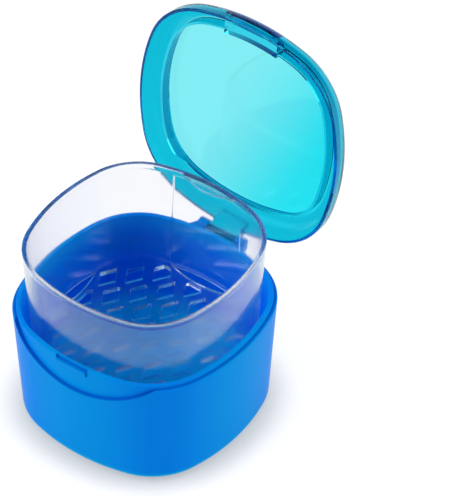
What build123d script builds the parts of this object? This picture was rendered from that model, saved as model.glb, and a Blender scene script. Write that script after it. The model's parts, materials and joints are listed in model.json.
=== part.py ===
from build123d import *

import os
from math import atan2, cos, degrees, radians, sin, sqrt

# Denture case: an outer cup, a rinsing basket that lifts out of it, and a see-through lid on a pin hinge.
# Millimetres. The origin is on the cup's centre line, on the surface where it stands. +Z is up, the catch
# faces -Y and the hinge is at +Y. The lid stands open against its stop and the basket is lifted.

# ---- Plan outline that cup, basket and lid share: four bowed sides joined by round corners.
CASE_WIDTH = 92.0
SIDE_RADIUS = 80.0
CORNER_RADIUS = 30.0

# ---- Lid
LID_DEPTH = 9.6
LID_SKIRT = 1.25
LID_PANEL = 1.6
LID_EDGE_RADIUS = 6.5
LID_RIM_GAP = 0.3
RIM_CHAMFER = 0.35
RING_INSET = 7.2
RING_THICKNESS = 1.0
RING_DROP = 4.4
RING_HINGE_DROP = 2.0
RING_HINGE_SET = 1.0
RING_HINGE_REACH = 18.0

# ---- Cup
SHOULDER_HEIGHT = 49.4
SHOULDER_CHAMFER = 0.4
FOOT_INSET = 3.3
FOOT_RADIUS = 5.0
FOOT_WALL = 2.3
FLOOR_THICKNESS = 2.2
FLOOR_CHAMFER = 2.2
FOOT_RING_WIDTH = 2.6
FOOT_RING_HEIGHT = 0.8
COLLAR_HEIGHT = 1.7
COLLAR_THICKNESS = 1.85
COLLAR_CLEARANCE = 0.2

# ---- Thumb scoop and catch, at the front of the cup
SCOOP_DROP = 11.5
SCOOP_RADIUS = 52.0
SCOOP_REACH = 23.0
NOTCH_WIDTH = 14.6
NOTCH_DEPTH = 1.05
BEAD_WIDTH = 13.6
BEAD_HEIGHT = 2.0
BEAD_FACE = 0.8
BEAD_REACH = 0.55
BEAD_FOOT_REACH = 0.3
BEAD_GAP = 0.1

# ---- Catch rib, boss and bridge, at the front of the lid
CATCH_RIB_LIFT = 0.45
CATCH_RIB_HEIGHT = 0.7
CATCH_RIB_REACH = 0.6
CATCH_END_GAP = 0.4
BOSS_LIFT = 0.9
BOSS_REACH = 2.7
BOSS_FLANK = 4.8
RIDGE_SIZE = 0.35
RIDGE_PITCH = 1.1
BRIDGE_WIDTH = 24.2
BRIDGE_INSET = 9.8

# ---- Hinge
BARREL_RADIUS = 2.5
BARREL_GAP = 0.4
HINGE_DROP = 1.5
KNUCKLE_LENGTH = 13.0
KNUCKLE_GAP = 0.3
LUG_LENGTH = 4.2
GUSSET_HEIGHT = 8.4
GUSSET_FLARE = 3.0
GUSSET_TOP_DROP = 0.2
GUSSET_LEAN = 45.0
WEB_HEIGHT = 6.3
HEEL_REACH = 0.35
HEEL_DROP = 1.75
STOP_GAP = 0.05
PIN_DIAMETER = 1.8
PIN_RECESS = 0.2
PIN_CLEARANCE = 0.08
LID_OPENING = 97.2

# ---- Basket
BASKET_RIM_CLEARANCE = 0.8
BASKET_FOOT_CLEARANCE = 1.7
BASKET_SEAT_GAP = 0.3
BASKET_BELOW_COLLAR = 1.3
BASKET_WALL = 1.3
BASKET_FLOOR = 1.8
BASKET_FOOT_RADIUS = 2.5
BASKET_FLOOR_CHAMFER = 0.9
BASKET_BEAD = 0.5
BASKET_BEAD_HEIGHT = 2.2
BASKET_LIFT = 29.1

# ---- Basket floor: diamond holes, and a slot along each side
HOLE_WIDTH = 7.2
HOLE_LENGTH = 11.6
HOLE_STEP = 7.4
HOLE_FRAME = 2.4
SLOT_LENGTH = 31.0
SLOT_DEPTH = 4.6
SLOT_WALL_GAP = 0.2
SLOT_MARGIN = 1.8
SMALLEST_HOLE = 10.0

# ---- Basket finger tab and the flat panel under it, on the hinge side
TAB_WIDTH = 23.0
TAB_REACH = 1.8
TAB_THICKNESS = 1.5
LIP_WIDTH = 16.2
LIP_REACH = 1.9
LIP_THICKNESS = 1.0
LIP_DROP = 0.5
PANEL_WIDTH = 31.8
PANEL_RECESS = 0.35
PANEL_BELOW_RIM = 3.0

# ---- Building aids: how far cutters run past a surface, and how wide the round walls' flat border is.
CUT_PAST = 1.0
CORE_MARGIN = 16.0

# ---- Places worked out from the sizes above
HALF = CASE_WIDTH / 2
SIDE_CENTRE = HALF - SIDE_RADIUS
CORNER_CENTRE = (SIDE_CENTRE + sqrt(2 * (SIDE_RADIUS - CORNER_RADIUS) ** 2 - SIDE_CENTRE**2)) / 2
TANGENT_ANGLE = degrees(atan2(CORNER_CENTRE, CORNER_CENTRE - SIDE_CENTRE))

COLLAR_INSET = LID_SKIRT + COLLAR_CLEARANCE
MOUTH_INSET = COLLAR_INSET + COLLAR_THICKNESS
CAVITY_FOOT_INSET = FOOT_INSET + FOOT_WALL
COLLAR_TOP = SHOULDER_HEIGHT + COLLAR_HEIGHT
FLOOR_TOP = FOOT_RING_HEIGHT + FLOOR_THICKNESS
LID_RIM_Z = SHOULDER_HEIGHT + LID_RIM_GAP
LID_TOP = LID_RIM_Z + LID_DEPTH
LID_UNDER = LID_TOP - LID_PANEL
LID_ROOT = LID_TOP - LID_PANEL / 2
RING_LOW = LID_UNDER - RING_DROP
CATCH_WIDTH = NOTCH_WIDTH - 2 * CATCH_END_GAP

HINGE_Y = HALF + BARREL_GAP + BARREL_RADIUS
HINGE_Z = SHOULDER_HEIGHT - HINGE_DROP
HINGE_AXIS = Axis((0, HINGE_Y, HINGE_Z), (1, 0, 0))
LUG_INNER = KNUCKLE_LENGTH / 2 + KNUCKLE_GAP
LUG_OUTER = LUG_INNER + LUG_LENGTH

BASKET_RIM_INSET = MOUTH_INSET + BASKET_RIM_CLEARANCE
BASKET_FOOT_INSET = CAVITY_FOOT_INSET + BASKET_FOOT_CLEARANCE
BASKET_SEAT_Z = FLOOR_TOP + BASKET_SEAT_GAP
BASKET_HEIGHT = COLLAR_TOP - BASKET_BELOW_COLLAR - BASKET_SEAT_Z

# Inside this inset the floors and the lid's panel are flat.
CORE_INSET = BASKET_FOOT_INSET + CORE_MARGIN


def outline_arcs():
    """Centre, radius, start angle and sweep of each arc of the plan outline."""
    for quarter in range(4):
        turn = 90 * quarter
        side = Vector(SIDE_CENTRE, 0).rotate(Axis.Z, turn)
        corner = Vector(CORNER_CENTRE, CORNER_CENTRE).rotate(Axis.Z, turn)
        yield side, SIDE_RADIUS, turn - TANGENT_ANGLE, 2 * TANGENT_ANGLE
        yield corner, CORNER_RADIUS, turn + TANGENT_ANGLE, 90 - 2 * TANGENT_ANGLE


def outline(inset):
    """The plan outline drawn in by an inset, as a face."""
    return make_face(
        [CenterArc(centre, radius - inset, start, sweep) for centre, radius, start, sweep in outline_arcs()]
    )


def bow(x, inset):
    """How far out a bowed side lies at x, drawn in by an inset."""
    return SIDE_CENTRE + sqrt((SIDE_RADIUS - inset) ** 2 - x**2)


def prism(face, bottom, top):
    """A plan face carried from one height to another."""
    return extrude(Pos(0, 0, bottom) * face, top - bottom)


def sharp(inset, height):
    """A corner of a section that stays sharp."""
    return Vector(-inset, height), 0.0, False


def chamfered(inset, height, cut):
    """A corner of a section that is cut back along both its sides."""
    return Vector(-inset, height), cut, False


def rounded(inset, height, radius):
    """A corner of a section that is rounded."""
    return Vector(-inset, height), radius, True


def section(*corners):
    """A closed wall section through its corners, which are insets from the outline and heights."""
    points = [point for point, _, _ in corners]
    starts = []
    ends = []
    edges = []
    for i, (point, size, is_round) in enumerate(corners):
        back = (points[i - 1] - point).normalized()
        ahead = (points[(i + 1) % len(points)] - point).normalized()
        half_angle = radians(back.get_angle(ahead)) / 2
        reach = size * cos(half_angle) / sin(half_angle) if is_round else size
        starts.append(point + back * reach)
        ends.append(point + ahead * reach)
        if is_round:
            middle = point + (back + ahead).normalized() * (size / sin(half_angle) - size)
            edges.append(ThreePointArc(starts[i], middle, ends[i]))
        elif size > 0:
            edges.append(Line(starts[i], ends[i]))
    for i, end in enumerate(ends):
        edges.append(Line(end, starts[(i + 1) % len(starts)]))
    return make_face(edges)


def around(wall):
    """Carry a wall section round the whole outline, one arc after another."""
    stretches = []
    for centre, radius, start, sweep in outline_arcs():
        outward = Vector(cos(radians(start)), sin(radians(start)))
        plane = Plane(origin=centre, x_dir=outward, z_dir=outward.cross(Vector(0, 0, 1)))
        stretches.append(revolve(plane * Pos(radius, 0) * wall, Axis(centre, (0, 0, 1)), sweep))
    return Part() + stretches


def across(width, *points):
    """A side view through (y, z) points, carried across the case over a width."""
    face = make_face(Polyline([(0, y, z) for y, z in points], close=True))
    return extrude(face, width / 2, dir=(1, 0, 0), both=True)


def barrel(radius, start, end):
    """A cylinder on the hinge axis between two places in x."""
    disc = Plane(origin=(start, HINGE_Y, HINGE_Z), x_dir=(0, 1, 0), z_dir=(1, 0, 0)) * Circle(radius)
    return extrude(disc, end - start)


def make_scoop():
    """The thumb scoop's cutter: the skin in front of the collar's face, inside a large round arc."""
    skin = around(
        section(
            sharp(COLLAR_INSET + FOOT_INSET, 0),
            sharp(COLLAR_INSET, SHOULDER_HEIGHT),
            sharp(COLLAR_INSET, COLLAR_TOP),
            sharp(-COLLAR_INSET, COLLAR_TOP),
            sharp(-COLLAR_INSET, 0),
        )
    )
    edge = Cylinder(SCOOP_RADIUS, 2 * SCOOP_REACH, rotation=(90, 0, 0))
    return skin & Pos(0, COLLAR_INSET - HALF, SHOULDER_HEIGHT - SCOOP_DROP + SCOOP_RADIUS) * edge


def make_catch_bead():
    """The bead below the notch. The lid's skirt stops just above it, so it doesn't hold the lid shut."""
    face_y = COLLAR_INSET - HALF
    top = LID_RIM_Z - BEAD_GAP
    return across(
        BEAD_WIDTH,
        (face_y + COLLAR_THICKNESS / 2, top),
        (face_y - BEAD_REACH, top),
        (face_y - BEAD_REACH, top - BEAD_FACE),
        (face_y - BEAD_FOOT_REACH, top - BEAD_HEIGHT),
        (face_y + COLLAR_THICKNESS / 2, top - BEAD_HEIGHT),
    )


def make_lugs():
    """The two hinge lugs with the gussets that flare out into the cup's rear wall."""
    top = SHOULDER_HEIGHT - GUSSET_TOP_DROP
    low = SHOULDER_HEIGHT - GUSSET_HEIGHT
    flank = LUG_OUTER + GUSSET_FLARE
    embed = COLLAR_INSET
    lean_y = BARREL_RADIUS * sin(radians(GUSSET_LEAN))
    lean_z = BARREL_RADIUS * cos(radians(GUSSET_LEAN))
    side_view = across(
        2 * flank,
        (bow(flank, MOUTH_INSET), low),
        (HALF - FOOT_INSET * GUSSET_HEIGHT / SHOULDER_HEIGHT, low),
        (HINGE_Y + lean_y, HINGE_Z - lean_z),
        (HINGE_Y, HINGE_Z),
        (HINGE_Y, top),
        (bow(flank, MOUTH_INSET), top),
    )
    lugs = Part()
    for side in (-1, 1):
        plan = make_face(
            Polyline(
                (side * LUG_INNER, bow(LUG_INNER, embed)),
                (side * LUG_INNER, HINGE_Y + BARREL_RADIUS),
                (side * LUG_OUTER, HINGE_Y + BARREL_RADIUS),
                (side * LUG_OUTER, HINGE_Y),
                (side * flank, bow(flank, embed)),
                close=True,
            )
        )
        inner, outer = sorted((side * LUG_INNER, side * LUG_OUTER))
        lugs += (side_view & prism(plan, low, top)) + barrel(BARREL_RADIUS, inner, outer)
    return lugs


def make_cup():
    ring_inset = FOOT_INSET + FOOT_RADIUS + FOOT_RING_WIDTH
    wall = around(
        section(
            sharp(CORE_INSET, FOOT_RING_HEIGHT),
            sharp(ring_inset, FOOT_RING_HEIGHT),
            sharp(ring_inset, 0),
            rounded(FOOT_INSET, 0, FOOT_RADIUS),
            chamfered(0, SHOULDER_HEIGHT, SHOULDER_CHAMFER),
            sharp(COLLAR_INSET, SHOULDER_HEIGHT),
            chamfered(COLLAR_INSET, COLLAR_TOP, RIM_CHAMFER),
            chamfered(MOUTH_INSET, COLLAR_TOP, RIM_CHAMFER),
            chamfered(CAVITY_FOOT_INSET, FLOOR_TOP, FLOOR_CHAMFER),
            sharp(CORE_INSET, FLOOR_TOP),
        )
    )
    cup = wall + prism(outline(CORE_INSET), FOOT_RING_HEIGHT, FLOOR_TOP)
    cup -= make_scoop()
    notch = across(
        NOTCH_WIDTH,
        (COLLAR_INSET + NOTCH_DEPTH - HALF, LID_RIM_Z - BEAD_GAP),
        (COLLAR_INSET + NOTCH_DEPTH - HALF, COLLAR_TOP + CUT_PAST),
        (-HALF, COLLAR_TOP + CUT_PAST),
        (-HALF, LID_RIM_Z - BEAD_GAP),
    )
    cup = cup - notch + make_catch_bead()
    cup += make_lugs()
    return cup - barrel(PIN_DIAMETER / 2, -LUG_OUTER, LUG_OUTER)


def make_lid_shell():
    """The lid's skirt and panel, closed."""
    border = around(
        section(
            sharp(LID_SKIRT, LID_RIM_Z),
            chamfered(0, LID_RIM_Z, RIM_CHAMFER),
            rounded(0, LID_TOP, LID_EDGE_RADIUS),
            sharp(CORE_INSET, LID_TOP),
            sharp(CORE_INSET, LID_UNDER),
            rounded(LID_SKIRT, LID_UNDER, LID_EDGE_RADIUS - LID_SKIRT),
        )
    )
    return border + prism(outline(CORE_INSET), LID_UNDER, LID_TOP)


def make_lid_ring():
    """The ring rib under the panel. It stands further in and is lower on the hinge side."""
    setback = Pos(0, -RING_HINGE_SET)
    outer = outline(RING_INSET) & setback * outline(RING_INSET)
    inset = RING_INSET + RING_THICKNESS
    inner = outline(inset) & setback * outline(inset)
    relief = across(
        2 * HALF,
        (HALF, RING_LOW - CUT_PAST),
        (HALF, LID_UNDER - RING_HINGE_DROP),
        (HALF - RING_HINGE_REACH + RING_DROP, LID_UNDER - RING_HINGE_DROP),
        (HALF - RING_HINGE_REACH, RING_LOW - CUT_PAST),
    )
    return prism(outer - inner, RING_LOW, LID_ROOT) - relief


def make_lid_filling():
    """The space inside the lid, out to the middle of its walls, which its front fittings stay within."""
    return around(
        section(
            sharp(LID_SKIRT / 2, LID_RIM_Z),
            rounded(LID_SKIRT / 2, LID_ROOT, LID_EDGE_RADIUS - LID_SKIRT / 2),
            sharp(CORE_INSET, LID_ROOT),
            sharp(CORE_INSET, LID_RIM_Z),
        )
    )


def make_catch_rib():
    """The rib inside the skirt that stands in the cup's notch, clear above the bead."""
    skin = LID_SKIRT / 2 - HALF
    inner = LID_SKIRT - HALF
    foot = LID_RIM_Z + CATCH_RIB_LIFT
    return across(
        CATCH_WIDTH,
        (skin, foot),
        (inner + CATCH_RIB_REACH, foot),
        (inner + CATCH_RIB_REACH, foot + CATCH_RIB_HEIGHT),
        (inner, foot + CATCH_RIB_HEIGHT + CATCH_RIB_REACH),
        (skin, foot + CATCH_RIB_HEIGHT + CATCH_RIB_REACH),
    )


def make_boss():
    """The thick stretch of skirt over the cup's collar, with curved flanks and two ridges under it."""
    low = COLLAR_TOP + BOSS_LIFT
    inner = LID_SKIRT + BOSS_REACH - HALF
    near = CATCH_WIDTH / 2
    far = near + BOSS_FLANK
    root = -bow(far, LID_SKIRT)
    edges = [
        Line((-near, inner), (near, inner)),
        Polyline((-far, root), (-far, -HALF), (far, -HALF), (far, root)),
    ]
    for side in (-1, 1):
        middle = (side * (near + far) / 2, (inner + root) / 2)
        edges.append(TangentArc((side * near, inner), middle, tangent=(side, 0)))
        edges.append(TangentArc((side * far, root), middle, tangent=(-side, 0)))
    boss = prism(make_face(edges), low, LID_ROOT)
    for y in (inner - RIDGE_SIZE, inner - RIDGE_SIZE - RIDGE_PITCH):
        boss += across(CATCH_WIDTH, (y - RIDGE_SIZE, low), (y, low - RIDGE_SIZE), (y + RIDGE_SIZE, low))
    return boss


def make_bridge():
    """The block that joins the boss to the ring, level with the ring's foot."""
    border = outline(0) - outline(BRIDGE_INSET)
    front = Pos(0, -HALF) * Rectangle(BRIDGE_WIDTH, CASE_WIDTH)
    return prism(border & front, RING_LOW, LID_ROOT)


def make_knuckle():
    """The lid's hinge knuckle, its web up to the skirt, and the heel that stops the lid when open."""
    knuckle = barrel(BARREL_RADIUS, -KNUCKLE_LENGTH / 2, KNUCKLE_LENGTH / 2)
    skin = HALF - LID_SKIRT / 2
    back = HINGE_Y + BARREL_RADIUS
    web = across(
        KNUCKLE_LENGTH,
        (skin, LID_RIM_Z),
        (HINGE_Y, LID_RIM_Z),
        (back, HINGE_Z),
        (back, LID_RIM_Z + BARREL_RADIUS / 2),
        (HALF, LID_RIM_Z + WEB_HEIGHT),
        (skin, LID_RIM_Z + WEB_HEIGHT),
    )
    wall_y = HALF + STOP_GAP
    heel_open = across(
        KNUCKLE_LENGTH,
        (HINGE_Y, HINGE_Z),
        (HINGE_Y - BARREL_RADIUS, HINGE_Z),
        (wall_y, HINGE_Z - HEEL_REACH),
        (wall_y, HINGE_Z - HEEL_DROP),
        (HINGE_Y, HINGE_Z - BARREL_RADIUS),
    )
    return knuckle + web + heel_open.rotate(HINGE_AXIS, LID_OPENING)


def make_lid():
    fittings = make_lid_filling() & (make_catch_rib() + make_boss() + make_bridge())
    lid = make_lid_shell() + make_lid_ring() + fittings + make_knuckle()
    bore = barrel(PIN_DIAMETER / 2 + PIN_CLEARANCE, -KNUCKLE_LENGTH / 2, KNUCKLE_LENGTH / 2)
    return (lid - bore).rotate(HINGE_AXIS, -LID_OPENING)


def make_hinge_pin():
    return barrel(PIN_DIAMETER / 2, PIN_RECESS - LUG_OUTER, LUG_OUTER - PIN_RECESS)


def make_floor_openings():
    """The slot along each side of the basket's floor, and the diamond holes inside their frame."""
    slot_inset = BASKET_FOOT_INSET + BASKET_WALL + SLOT_WALL_GAP
    slot_inner = bow(0, slot_inset) - SLOT_DEPTH
    end_gap = bow(SLOT_LENGTH / 2, slot_inset) - slot_inner
    slot_radius = ((SLOT_LENGTH / 2) ** 2 + end_gap**2) / (2 * end_gap)
    openings = []
    frame = outline(slot_inset + HOLE_FRAME)
    for quarter in range(4):
        place = Rot(0, 0, 90 * quarter) * Pos(0, slot_inner + slot_radius)
        openings.append(outline(slot_inset) & place * Circle(slot_radius))
        frame -= place * Circle(slot_radius + SLOT_MARGIN)
    diamond = make_face(
        Polyline(
            (-HOLE_WIDTH / 2, 0),
            (0, -HOLE_LENGTH / 2),
            (HOLE_WIDTH / 2, 0),
            (0, HOLE_LENGTH / 2),
            close=True,
        )
    )
    count = int(HALF / HOLE_STEP)
    for column in range(-count, count + 1):
        for row in range(-count, count + 1):
            if (column + row) % 2 == 0:
                hole = frame & Pos(column * HOLE_STEP, row * HOLE_STEP) * diamond
                if hole and hole.area > SMALLEST_HOLE:
                    openings.append(hole)
    return openings


def make_finger_tab(rim):
    """The flange on the hinge side of the basket's rim, with a crescent lip to lift by."""
    edge = HALF - BASKET_RIM_INSET - BASKET_WALL - BASKET_BEAD - TAB_REACH
    wall_middle = BASKET_RIM_INSET + BASKET_WALL / 2
    flange = Pos(0, edge + HALF) * Rectangle(TAB_WIDTH, 2 * HALF) & outline(wall_middle)
    lip_radius = ((LIP_WIDTH / 2) ** 2 + LIP_REACH**2) / (2 * LIP_REACH)
    lip = Pos(0, edge - LIP_REACH + lip_radius) * Circle(lip_radius) & outline(wall_middle)
    lip &= Pos(0, HALF) * Rectangle(TAB_WIDTH, CASE_WIDTH)
    lip_top = rim - LIP_DROP
    return prism(flange, rim - TAB_THICKNESS, rim) + prism(lip, lip_top - LIP_THICKNESS, lip_top)


def make_basket():
    foot = BASKET_SEAT_Z + BASKET_LIFT
    rim = foot + BASKET_HEIGHT
    floor_top = foot + BASKET_FLOOR
    bead_low = rim - BASKET_BEAD_HEIGHT
    taper = (BASKET_FOOT_INSET - BASKET_RIM_INSET) / BASKET_HEIGHT
    bead_inset = BASKET_RIM_INSET + BASKET_WALL + BASKET_BEAD
    under_bead = BASKET_RIM_INSET + BASKET_WALL + taper * (BASKET_BEAD_HEIGHT + BASKET_BEAD)
    floor_inset = BASKET_FOOT_INSET + BASKET_WALL
    wall = around(
        section(
            sharp(CORE_INSET, foot),
            rounded(BASKET_FOOT_INSET, foot, BASKET_FOOT_RADIUS),
            chamfered(BASKET_RIM_INSET, rim, RIM_CHAMFER),
            chamfered(bead_inset, rim, RIM_CHAMFER),
            sharp(bead_inset, bead_low),
            sharp(under_bead, bead_low - BASKET_BEAD),
            chamfered(floor_inset, floor_top, BASKET_FLOOR_CHAMFER),
            sharp(CORE_INSET, floor_top),
        )
    )
    basket = wall + prism(outline(CORE_INSET), foot, floor_top)
    basket -= [prism(opening, foot - CUT_PAST, floor_top + CUT_PAST) for opening in make_floor_openings()]
    panel_top = rim - PANEL_BELOW_RIM
    panel_inset = under_bead + taper * (PANEL_BELOW_RIM - BASKET_BEAD_HEIGHT - BASKET_BEAD)
    panel_skin = around(
        section(
            sharp(floor_inset - PANEL_RECESS, floor_top),
            sharp(panel_inset - PANEL_RECESS, panel_top),
            sharp(panel_inset + PANEL_RECESS, panel_top),
            sharp(floor_inset + BASKET_FLOOR_CHAMFER, floor_top),
        )
    )
    panel_side = Pos(0, HALF, (floor_top + panel_top) / 2) * Box(PANEL_WIDTH, CASE_WIDTH, BASKET_HEIGHT)
    basket -= panel_skin & panel_side
    return basket + make_finger_tab(rim)


pieces = {
    "cup": make_cup(),
    "basket": make_basket(),
    "lid": make_lid(),
    "hinge_pin": make_hinge_pin(),
}
os.makedirs("parts", exist_ok=True)
for name, piece in pieces.items():
    export_step(piece, f"parts/{name}.step")
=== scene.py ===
import json
import math

import bpy
from mathutils import Matrix, Vector

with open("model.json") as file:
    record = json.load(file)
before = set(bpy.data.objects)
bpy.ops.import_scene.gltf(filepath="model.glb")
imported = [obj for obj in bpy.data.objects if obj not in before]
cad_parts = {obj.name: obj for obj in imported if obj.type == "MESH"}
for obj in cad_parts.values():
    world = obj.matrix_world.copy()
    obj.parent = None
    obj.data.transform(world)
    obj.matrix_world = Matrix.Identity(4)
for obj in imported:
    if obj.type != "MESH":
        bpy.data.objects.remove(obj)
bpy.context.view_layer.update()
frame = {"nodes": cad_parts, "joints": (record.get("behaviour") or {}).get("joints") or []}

# ---- Camera and studio, in metres and degrees
CAMERA_AZIMUTH = 37.2
CAMERA_ELEVATION = 42.5
CAMERA_DISTANCE = 2.3
CAMERA_TARGET = Vector((0.0292, 0.0138, 0.0819))
CAMERA_LENS_MM = 488.1
CAMERA_REACH = 20.0
SENSOR_WIDTH_MM = 36.0
LAMP_TARGET = Vector((0, 0, 0.06))
LAMP_DISTANCE = 1.2
LAMP_SIZE = 1.2
KEY_LEVEL = 0.62
FILL_LEVEL = 0.52

# The world gives its full light below one height and its least above another, as shares of straight up.
WALL_LIGHT = 0.92
CEILING_LIGHT = 0.12
LIGHT_FADES = (0.1, 0.8)
CEILING_MIRRORED = (0.015, 0.09, 0.30)
MIRRORED_FADES = (0.1, 0.6)

# The floor lights the object as a pale grey. Seen, it is a faint grey that takes shadows, lifted to white.
FLOOR_SIZE = 6.0
FLOOR_PALE = 0.80
FLOOR_SEEN = 0.32
FLOOR_LIFT = 0.85
# Painted shadow: the lift is dimmed by up to this much where the object stands close.
CONTACT_SHADE = 0.42
CONTACT_REACH = 0.018
CONTACT_OPEN = (0.4, 0.95)
CONTACT_SAMPLES = 16

# Light crosses and mirrors inside the clear walls many times before it leaves them.
CLEAR_BOUNCES = 28

# ---- Finishes: linear colours, noise scales per metre, and other sizes in metres
WHITE = (1.0, 1.0, 1.0)
CLOUD_RANGE = (0.3, 0.7)
CLOUD_DETAIL = 3
BEVEL_SAMPLES = 6
CUP_BLUE = (0.0015, 0.315, 0.86)
# Painted shade: the corners are a deeper blue than the sides.
CUP_CORNER_PAINTED_SHADE = (0.0015, 0.250, 0.92)
# Painted shade in creases, where other surfaces stand close.
CUP_PAINTED_CREASE_SHADE = (0.0005, 0.15, 0.68)
CUP_INSIDE_PAINTED_SHADE = (0.0005, 0.165, 0.90)
# Painted light: the bottom inside the cup is lighter and more cyan.
CUP_FLOOR_PAINTED_LIGHT = (0.001, 0.60, 1.0)
CUP_TINT = (0.02, 0.35, 1.0)
CUP_GLOSS = 0.015
CUP_ROUGHNESS = (0.30, 0.38)
CUP_CLOUD = 18
CUP_GRAIN = 2600
CUP_GRAIN_STRENGTH = 0.15
CUP_GRAIN_DEPTH = 0.00004
CUP_EDGE_RADIUS = 0.0004
CORNER_SHADE_FADES = (0.006, 0.036)
CREASE_REACH = 0.003
CREASE_SAMPLES = 8
CREASE_OPEN = (0.45, 0.95)
MOUTH_FADE = 0.0004
BELOW_MOUTH_FADES = (0.0005, 0.010)
UNDERSIDE_FADES = (0.0006, 0.0014)
PAINTED_FLOOR_LIGHT_FADES = (0.004, 0.018)

# Painted reflection: the panel is pale towards one side.
LID_PAINTED_REFLECTION = (0.22, 0.80, 0.84)
LID_DEEP = (0.018, 0.74, 0.82)
LID_BAND = (0.006, 0.50, 0.66)
LID_SHADOW = (0.45, 0.93, 0.97)
LID_TINT = (0.05, 0.8, 1.0)
LID_ABSORB = (0.10, 0.78, 0.95)
LID_DENSITY = 60
LID_IOR = 1.40
LID_ROUGHNESS = (0.012, 0.025)
LID_CLOUD = 40
LID_RIPPLE = 90
LID_RIPPLE_STRENGTH = 0.05
LID_REFLECTION_SLANT = (0.8, 0.35)
LID_REFLECTION_FADES = (-0.014, 0.030)
LID_BORDER_FADES = (0.0078, 0.0066)
LID_FITTINGS_FADES = (0.0002, 0.0006)

BASKET_CLEAR = (0.93, 0.945, 0.96)
BASKET_ABSORB = (0.30, 0.72, 0.95)
BASKET_DENSITY = 20
BASKET_TINT = (0.45, 0.80, 1.0)
BASKET_IOR = 1.50
BASKET_POLISH = 0.02
BASKET_FROST = (0.07, 0.105)
BASKET_CLOUD = 60
BASKET_RIPPLE = 110
BASKET_RIPPLE_STRENGTH = 0.16
BASKET_EDGE_RADIUS = 0.0007
FLOOR_FROST_FADES = (0.0008, 0.0025)
RIM_FROST_FADES = (0.0005, 0.0025)
RIPPLE_DEPTH = 0.0002

PIN_STEEL = (0.80, 0.81, 0.82)
PIN_ROUGHNESS = (0.42, 0.56)
PIN_DRAWN_LINES = 900

# ---- Sizes of the solids that the finishes follow, in metres
LID_HINGE = next(joint for joint in frame["joints"] if joint["name"] == "lid_hinge")
HINGE = Vector(LID_HINGE["pos_m"])
LID_OPENING = math.radians(LID_HINGE["range_deg"][1])
SIDE_CENTRE = -0.034
SIDE_RADIUS = 0.080
CORNER_CENTRE = 0.014
CORNER_RADIUS = 0.030
TANGENT_SLOPE = CORNER_CENTRE / (CORNER_CENTRE - SIDE_CENTRE)
MOUTH_INSET = 0.0033
COLLAR_TOP = 0.0511
LID_UNDER = 0.0577
BASKET_FLOOR_TOP = 0.0342
BASKET_RIM = 0.0789


def direction(azimuth, elevation):
    """From the object towards a place at this azimuth and elevation."""
    around = math.radians(azimuth)
    up = math.radians(elevation)
    return Vector((math.sin(around) * math.cos(up), -math.cos(around) * math.cos(up), math.sin(up)))


def make_camera():
    data = bpy.data.cameras.new("camera")
    data.sensor_fit = "HORIZONTAL"
    data.sensor_width = SENSOR_WIDTH_MM
    data.lens = CAMERA_LENS_MM
    data.clip_end = CAMERA_REACH
    camera = bpy.data.objects.new("camera", data)
    bpy.context.scene.collection.objects.link(camera)
    back = direction(CAMERA_AZIMUTH, CAMERA_ELEVATION)
    camera.location = CAMERA_TARGET + CAMERA_DISTANCE * back
    camera.rotation_euler = back.to_track_quat("Z", "Y").to_euler()
    bpy.context.scene.camera = camera


def area_light(name, azimuth, elevation, level):
    """A square lamp that lights a facing white surface to about this level. No mirror image shows it."""
    data = bpy.data.lights.new(name, "AREA")
    data.shape = "SQUARE"
    data.size = LAMP_SIZE
    data.energy = level * (math.pi * LAMP_DISTANCE) ** 2
    light = bpy.data.objects.new(name, data)
    light.visible_glossy = False
    bpy.context.scene.collection.objects.link(light)
    back = direction(azimuth, elevation)
    light.location = LAMP_TARGET + LAMP_DISTANCE * back
    light.rotation_euler = back.to_track_quat("Z", "Y").to_euler()


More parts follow.
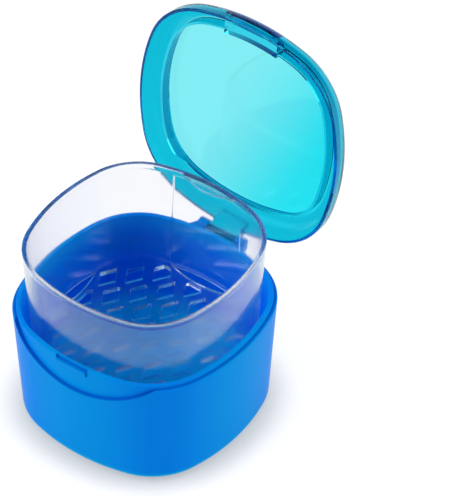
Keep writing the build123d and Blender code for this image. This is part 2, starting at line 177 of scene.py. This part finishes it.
class Tree:
    """A node tree with short ways to add nodes to it."""

    def __init__(self, owner):
        owner.use_nodes = True
        self.nodes = owner.node_tree.nodes
        self.links = owner.node_tree.links
        self.nodes.clear()

    def add(self, kind, **settings):
        node = self.nodes.new(kind)
        for name, value in settings.items():
            setattr(node, name, value)
        return node

    def feed(self, value, socket):
        """Link an output to a socket, or set a plain value on it."""
        if isinstance(value, bpy.types.NodeSocket):
            self.links.new(value, socket)
        elif isinstance(value, tuple) and len(value) == 3 and socket.type == "RGBA":
            socket.default_value = (*value, 1)
        else:
            socket.default_value = value

    def math(self, operation, a, b=0.0):
        node = self.add("ShaderNodeMath", operation=operation)
        self.feed(a, node.inputs[0])
        self.feed(b, node.inputs[1])
        return node.outputs[0]

    def span(self, value, start, end, low=0.0, high=1.0):
        """Carry a value between start and end smoothly to a range from low to high."""
        node = self.add("ShaderNodeMapRange", interpolation_type="SMOOTHSTEP")
        limits = {"From Min": start, "From Max": end, "To Min": low, "To Max": high}
        for name, given in limits.items():
            node.inputs[name].default_value = given
        self.feed(value, node.inputs["Value"])
        return node.outputs["Result"]

    def blend(self, factor, a, b):
        """Colour a where the factor is 0, and b where it is 1."""
        node = self.add("ShaderNodeMix", data_type="RGBA")
        self.feed(factor, node.inputs["Factor"])
        colours = [socket for socket in node.inputs if socket.type == "RGBA"]
        self.feed(a, colours[0])
        self.feed(b, colours[1])
        return [socket for socket in node.outputs if socket.type == "RGBA"][0]

    def place(self):
        return self.add("ShaderNodeTexCoord").outputs["Object"]

    def noise(self, place, scale, detail=2.0):
        node = self.add("ShaderNodeTexNoise")
        node.inputs["Scale"].default_value = scale
        node.inputs["Detail"].default_value = detail
        self.feed(place, node.inputs["Vector"])
        return node.outputs["Fac"]

    def occlusion(self, reach, samples):
        """1 in the open, less where other surfaces stand within reach."""
        node = self.add("ShaderNodeAmbientOcclusion", samples=samples)
        node.inputs["Distance"].default_value = reach
        return node.outputs["AO"]

    def bump(self, height, strength, distance, edge_radius=0.0):
        """Shade small unevenness and, with an edge radius, edges as if they were rounded."""
        node = self.add("ShaderNodeBump")
        if edge_radius:
            edge = self.add("ShaderNodeBevel", samples=BEVEL_SAMPLES)
            edge.inputs["Radius"].default_value = edge_radius
            self.feed(edge.outputs[0], node.inputs["Normal"])
        node.inputs["Strength"].default_value = strength
        node.inputs["Distance"].default_value = distance
        self.feed(height, node.inputs["Height"])
        return node.outputs["Normal"]

    def split(self, vector):
        node = self.add("ShaderNodeSeparateXYZ")
        self.feed(vector, node.inputs[0])
        return node.outputs

    def principled(self, **inputs):
        node = self.add("ShaderNodeBsdfPrincipled")
        for name, value in inputs.items():
            self.feed(value, node.inputs[name.replace("_", " ")])
        return node.outputs[0]

    def mix(self, factor, a, b):
        """Shader a where the factor is 0, and b where it is 1."""
        node = self.add("ShaderNodeMixShader")
        self.feed(factor, node.inputs[0])
        self.feed(a, node.inputs[1])
        self.feed(b, node.inputs[2])
        return node.outputs[0]

    def seen(self):
        """1 for rays that show the surroundings: from the camera, mirrored or bent. Else 0."""
        path = self.add("ShaderNodeLightPath").outputs
        most = self.math("MAXIMUM", path["Is Camera Ray"], path["Is Transmission Ray"])
        return self.math("MAXIMUM", most, path["Is Glossy Ray"])

    def inset(self, x, y):
        """How far inside the case's plan outline, of bowed sides and round corners, a place lies."""
        across = self.math("ABSOLUTE", x)
        along = self.math("ABSOLUTE", y)
        most = self.math("MAXIMUM", across, along)
        least = self.math("MINIMUM", across, along)
        from_side = self.math("SUBTRACT", most, SIDE_CENTRE)
        side = self.math("SUBTRACT", SIDE_RADIUS, self.length(from_side, least))
        from_corner = [self.math("SUBTRACT", value, CORNER_CENTRE) for value in (most, least)]
        corner = self.math("SUBTRACT", CORNER_RADIUS, self.length(*from_corner))
        tangent = self.math("MULTIPLY", from_side, TANGENT_SLOPE)
        at_corner = self.math("GREATER_THAN", least, tangent)
        change = self.math("SUBTRACT", corner, side)
        return self.add_up(side, self.math("MULTIPLY", at_corner, change))

    def length(self, a, b):
        squares = [self.math("MULTIPLY", value, value) for value in (a, b)]
        return self.math("SQRT", self.add_up(*squares))

    def add_up(self, a, b):
        return self.math("ADD", a, b)


def new_material(name):
    material = bpy.data.materials.new(name)
    tree = Tree(material)
    return material, tree, tree.add("ShaderNodeOutputMaterial")


def make_world():
    """A studio with pale walls and a darker ceiling, so that upright faces are lighter than level ones.

    What is seen of it, straight or in the clear plastics, is white below and dark blue above.
    """
    world = bpy.data.worlds.new("studio")
    bpy.context.scene.world = world
    tree = Tree(world)
    height = tree.split(tree.add("ShaderNodeTexCoord").outputs["Generated"])[2]
    light = tree.add("ShaderNodeBackground")
    level = tree.span(height, *LIGHT_FADES, WALL_LIGHT, CEILING_LIGHT)
    tree.feed(level, light.inputs["Strength"])
    tree.feed(WHITE, light.inputs["Color"])
    shown = tree.add("ShaderNodeBackground")
    sky = tree.blend(tree.span(height, *MIRRORED_FADES), WHITE, CEILING_MIRRORED)
    tree.feed(sky, shown.inputs["Color"])
    surface = tree.mix(tree.seen(), light.outputs[0], shown.outputs[0])
    tree.feed(surface, tree.add("ShaderNodeOutputWorld").inputs["Surface"])


def make_floor():
    """A white floor that keeps the object's shadow, with painted shadow deepening it where the object
    stands.
    """
    mesh = bpy.data.meshes.new("floor")
    half = FLOOR_SIZE / 2
    corners = [(-half, -half, 0), (half, -half, 0), (half, half, 0), (-half, half, 0)]
    mesh.from_pydata(corners, [], [(0, 1, 2, 3)])
    floor = bpy.data.objects.new("floor", mesh)
    bpy.context.scene.collection.objects.link(floor)
    material, tree, output = new_material("floor")
    matte, seen_matte = (tree.add("ShaderNodeBsdfDiffuse") for _ in range(2))
    tree.feed((FLOOR_PALE,) * 3, matte.inputs["Color"])
    tree.feed((FLOOR_SEEN,) * 3, seen_matte.inputs["Color"])
    lift = tree.add("ShaderNodeEmission")
    # Painted shadow: the lift dims where the object stands close, found by occlusion.
    contact = tree.occlusion(CONTACT_REACH, CONTACT_SAMPLES)
    lift_with_painted_shadow = tree.span(contact, *CONTACT_OPEN, FLOOR_LIFT - CONTACT_SHADE, FLOOR_LIFT)
    tree.feed(lift_with_painted_shadow, lift.inputs["Strength"])
    both = tree.add("ShaderNodeAddShader")
    tree.feed(seen_matte.outputs[0], both.inputs[0])
    tree.feed(lift.outputs[0], both.inputs[1])
    tree.feed(tree.mix(tree.seen(), matte.outputs[0], both.outputs[0]), output.inputs["Surface"])
    mesh.materials.append(material)


def cup_plastic():
    """Satin blue with painted shade, deeper at the corners and in creases and deep blue inside, and
    painted light making the bottom inside lighter.
    """
    material, tree, output = new_material("cup_plastic")
    place = tree.place()
    x, y, z = tree.split(place)
    cloud = tree.noise(place, CUP_CLOUD, CLOUD_DETAIL)
    grain = tree.noise(place, CUP_GRAIN)
    below_mouth = tree.span(z, *(COLLAR_TOP - drop for drop in BELOW_MOUTH_FADES))
    above_underside = tree.span(z, *UNDERSIDE_FADES)
    within = tree.span(tree.inset(x, y), MOUTH_INSET - MOUTH_FADE, MOUTH_INSET + MOUTH_FADE)
    inside = tree.math("MULTIPLY", within, tree.math("MULTIPLY", below_mouth, above_underside))
    # Painted shade: deeper blue towards the corners, where less light falls.
    near_corner = tree.math("MINIMUM", tree.math("ABSOLUTE", x), tree.math("ABSOLUTE", y))
    outer = tree.blend(tree.span(near_corner, *CORNER_SHADE_FADES), CUP_BLUE, CUP_CORNER_PAINTED_SHADE)
    # Painted shade: darker blue in creases, found by occlusion.
    open_faces = tree.span(tree.occlusion(CREASE_REACH, CREASE_SAMPLES), *CREASE_OPEN)
    outer = tree.blend(open_faces, CUP_PAINTED_CREASE_SHADE, outer)
    # Painted shade makes the inside of the cup deep blue, and painted light makes its bottom lighter.
    inside_painted_shade_and_light = tree.blend(tree.span(z, *PAINTED_FLOOR_LIGHT_FADES), CUP_FLOOR_PAINTED_LIGHT, CUP_INSIDE_PAINTED_SHADE)
    shader = tree.principled(
        Base_Color=tree.blend(inside, outer, inside_painted_shade_and_light),
        Roughness=tree.span(cloud, *CLOUD_RANGE, *CUP_ROUGHNESS),
        Normal=tree.bump(grain, CUP_GRAIN_STRENGTH, CUP_GRAIN_DEPTH, CUP_EDGE_RADIUS),
        Specular_IOR_Level=CUP_GLOSS,
        Specular_Tint=CUP_TINT,
    )
    tree.feed(shader, output.inputs["Surface"])
    return material


def clear_output(tree, output, shader, lamp_tint, absorb, density):
    """Finish a clear moulding: lamps shine through it in its own colour."""
    lamp_path = tree.add("ShaderNodeBsdfTransparent")
    tree.feed(lamp_tint, lamp_path.inputs["Color"])
    path = tree.add("ShaderNodeLightPath").outputs
    surface = tree.mix(path["Is Shadow Ray"], shader, lamp_path.outputs[0])
    tree.feed(surface, output.inputs["Surface"])
    volume = tree.add("ShaderNodeVolumeAbsorption")
    tree.feed(absorb, volume.inputs["Color"])
    tree.feed(density, volume.inputs["Density"])
    tree.feed(volume.outputs[0], output.inputs["Volume"])


def basket_plastic():
    """Clear plastic with lightly frosted walls, and a polished floor and rim."""
    material, tree, output = new_material("basket_plastic")
    place = tree.place()
    z = tree.split(place)[2]
    cloud = tree.noise(place, BASKET_CLOUD, CLOUD_DETAIL)
    ripple = tree.noise(place, BASKET_RIPPLE)
    above_floor = tree.span(z, *(BASKET_FLOOR_TOP + rise for rise in FLOOR_FROST_FADES))
    below_rim = tree.span(z, *(BASKET_RIM - drop for drop in RIM_FROST_FADES))
    wall = tree.math("MULTIPLY", above_floor, below_rim)
    frost = tree.math("MULTIPLY", wall, tree.span(cloud, *CLOUD_RANGE, *BASKET_FROST))
    shader = tree.principled(
        Base_Color=BASKET_CLEAR,
        Transmission_Weight=1.0,
        IOR=BASKET_IOR,
        Roughness=tree.add_up(frost, BASKET_POLISH),
        Specular_Tint=BASKET_TINT,
        Normal=tree.bump(ripple, BASKET_RIPPLE_STRENGTH, RIPPLE_DEPTH, BASKET_EDGE_RADIUS),
    )
    clear_output(tree, output, shader, BASKET_CLEAR, BASKET_ABSORB, BASKET_DENSITY)
    return material


def lid_plastic():
    """See-through teal: a painted reflection makes the panel pale at one side, going to deep across, and
    its border and fittings are deeper.

    The pattern is laid out on the closed lid, so each place is first turned shut about the hinge.
    """
    material, tree, output = new_material("lid_plastic")
    turned = tree.add("ShaderNodeMapping", vector_type="POINT")
    turn = Matrix.Rotation(LID_OPENING, 3, "X")
    turned.inputs["Rotation"].default_value = (LID_OPENING, 0, 0)
    turned.inputs["Location"].default_value = HINGE - turn @ HINGE
    tree.feed(tree.place(), turned.inputs["Vector"])
    closed = turned.outputs[0]
    x, y, z = tree.split(closed)
    inset = tree.inset(x, y)
    cloud = tree.noise(closed, LID_CLOUD, CLOUD_DETAIL)
    ripple = tree.noise(closed, LID_RIPPLE)
    # Painted reflection: a pale veil across the panel, fading to the deep teal.
    reflection_slant = tree.add_up(*(tree.math("MULTIPLY", value, share) for value, share in zip((x, y), LID_REFLECTION_SLANT)))
    panel_with_painted_reflection = tree.blend(tree.span(reflection_slant, *LID_REFLECTION_FADES), LID_PAINTED_REFLECTION, LID_DEEP)
    border = tree.span(inset, *LID_BORDER_FADES)
    fittings = tree.span(z, *(LID_UNDER - drop for drop in LID_FITTINGS_FADES))
    banded = tree.blend(tree.math("MAXIMUM", border, fittings), panel_with_painted_reflection, LID_BAND)
    shader = tree.principled(
        Base_Color=banded,
        Transmission_Weight=1.0,
        IOR=LID_IOR,
        Roughness=tree.span(cloud, *CLOUD_RANGE, *LID_ROUGHNESS),
        Specular_Tint=LID_TINT,
        Normal=tree.bump(ripple, LID_RIPPLE_STRENGTH, RIPPLE_DEPTH),
    )
    clear_output(tree, output, shader, LID_SHADOW, LID_ABSORB, LID_DENSITY)
    return material


def pin_steel():
    """Satin steel with uneven gloss."""
    material, tree, output = new_material("pin_steel")
    drawn_lines = tree.noise(tree.place(), PIN_DRAWN_LINES)
    shader = tree.principled(
        Base_Color=PIN_STEEL,
        Metallic=1.0,
        Roughness=tree.span(drawn_lines, *CLOUD_RANGE, *PIN_ROUGHNESS),
    )
    tree.feed(shader, output.inputs["Surface"])
    return material


def dress(node, material):
    mesh = frame["nodes"][node].data
    mesh.materials.clear()
    mesh.materials.append(material)


make_camera()
make_world()
make_floor()
area_light("key", azimuth=-40, elevation=35, level=KEY_LEVEL)
area_light("fill", azimuth=122, elevation=30, level=FILL_LEVEL)

dress("cup", cup_plastic())
dress("basket", basket_plastic())
dress("lid", lid_plastic())
dress("hinge_pin", pin_steel())

bpy.context.scene.view_settings.view_transform = "Standard"
paths = bpy.context.scene.cycles
paths.max_bounces = CLEAR_BOUNCES
paths.glossy_bounces = CLEAR_BOUNCES
paths.transmission_bounces = CLEAR_BOUNCES
